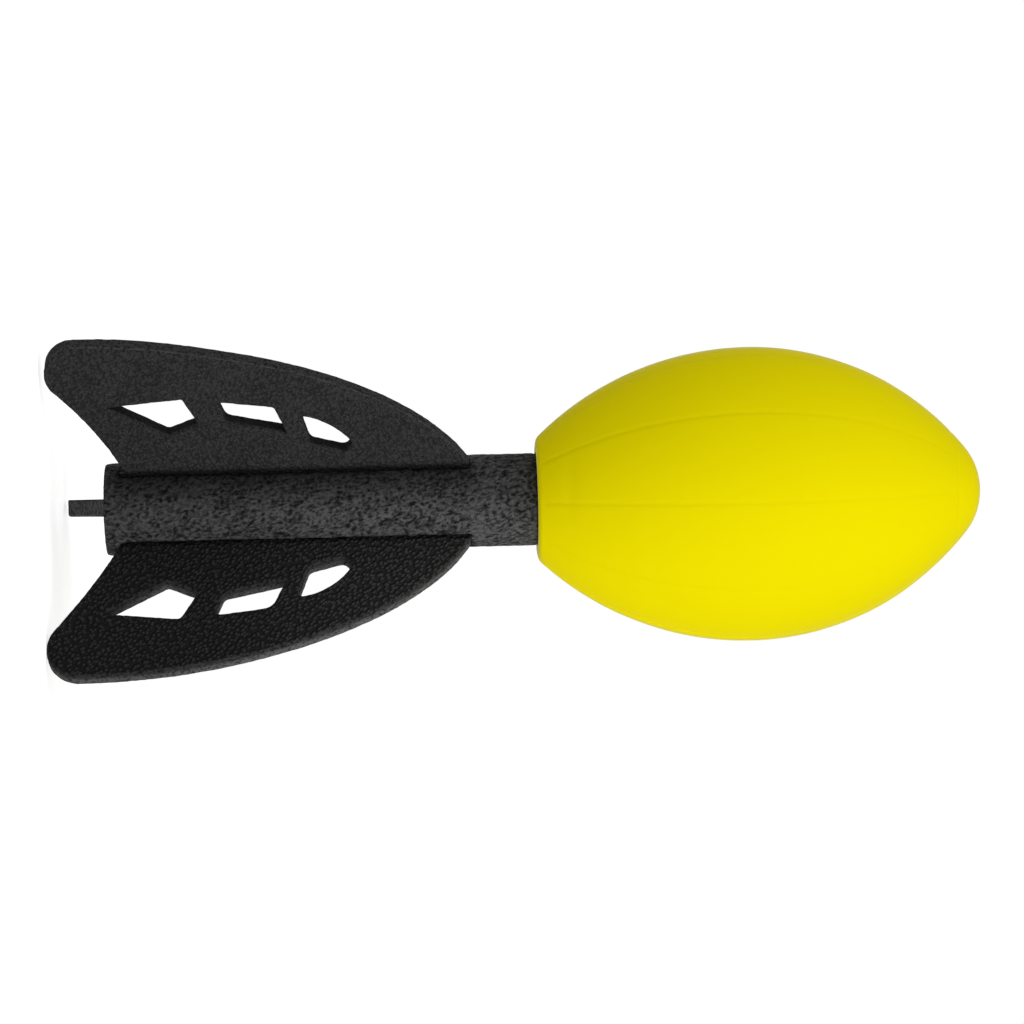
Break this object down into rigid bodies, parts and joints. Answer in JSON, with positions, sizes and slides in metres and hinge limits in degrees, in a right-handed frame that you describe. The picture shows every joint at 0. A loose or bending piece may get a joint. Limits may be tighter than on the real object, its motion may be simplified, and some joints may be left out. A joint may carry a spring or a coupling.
{
  "type": "foam throwing toy",
  "caption": "Soft foam throwing toy: a grooved football-shaped head on a round foam tail with windowed fins, for javelin-style throwing practice.",
  "frame": {"origin": "centre of the flat rear end of the tail rod, on the toy's axis; the three fin tips reach below it and stand on the floor", "axes": "+Z along the toy's axis from the tail to the nose, +Y along one fin, +X square to both"},
  "size_m": [0.1152, 0.1152, 0.3176],
  "materials": {
    "head_foam": "matte",
    "rod_foam": "matte",
    "fin_foam": "matte",
    "core_plastic": "satin"
  },
  "bodies": {
    "root": {"head": "head_foam", "tail_rod": "rod_foam", "core_tube": "core_plastic", "fin_1": "fin_foam", "fin_2": "fin_foam", "fin_3": "fin_foam"}
  },
  "joints": []
}
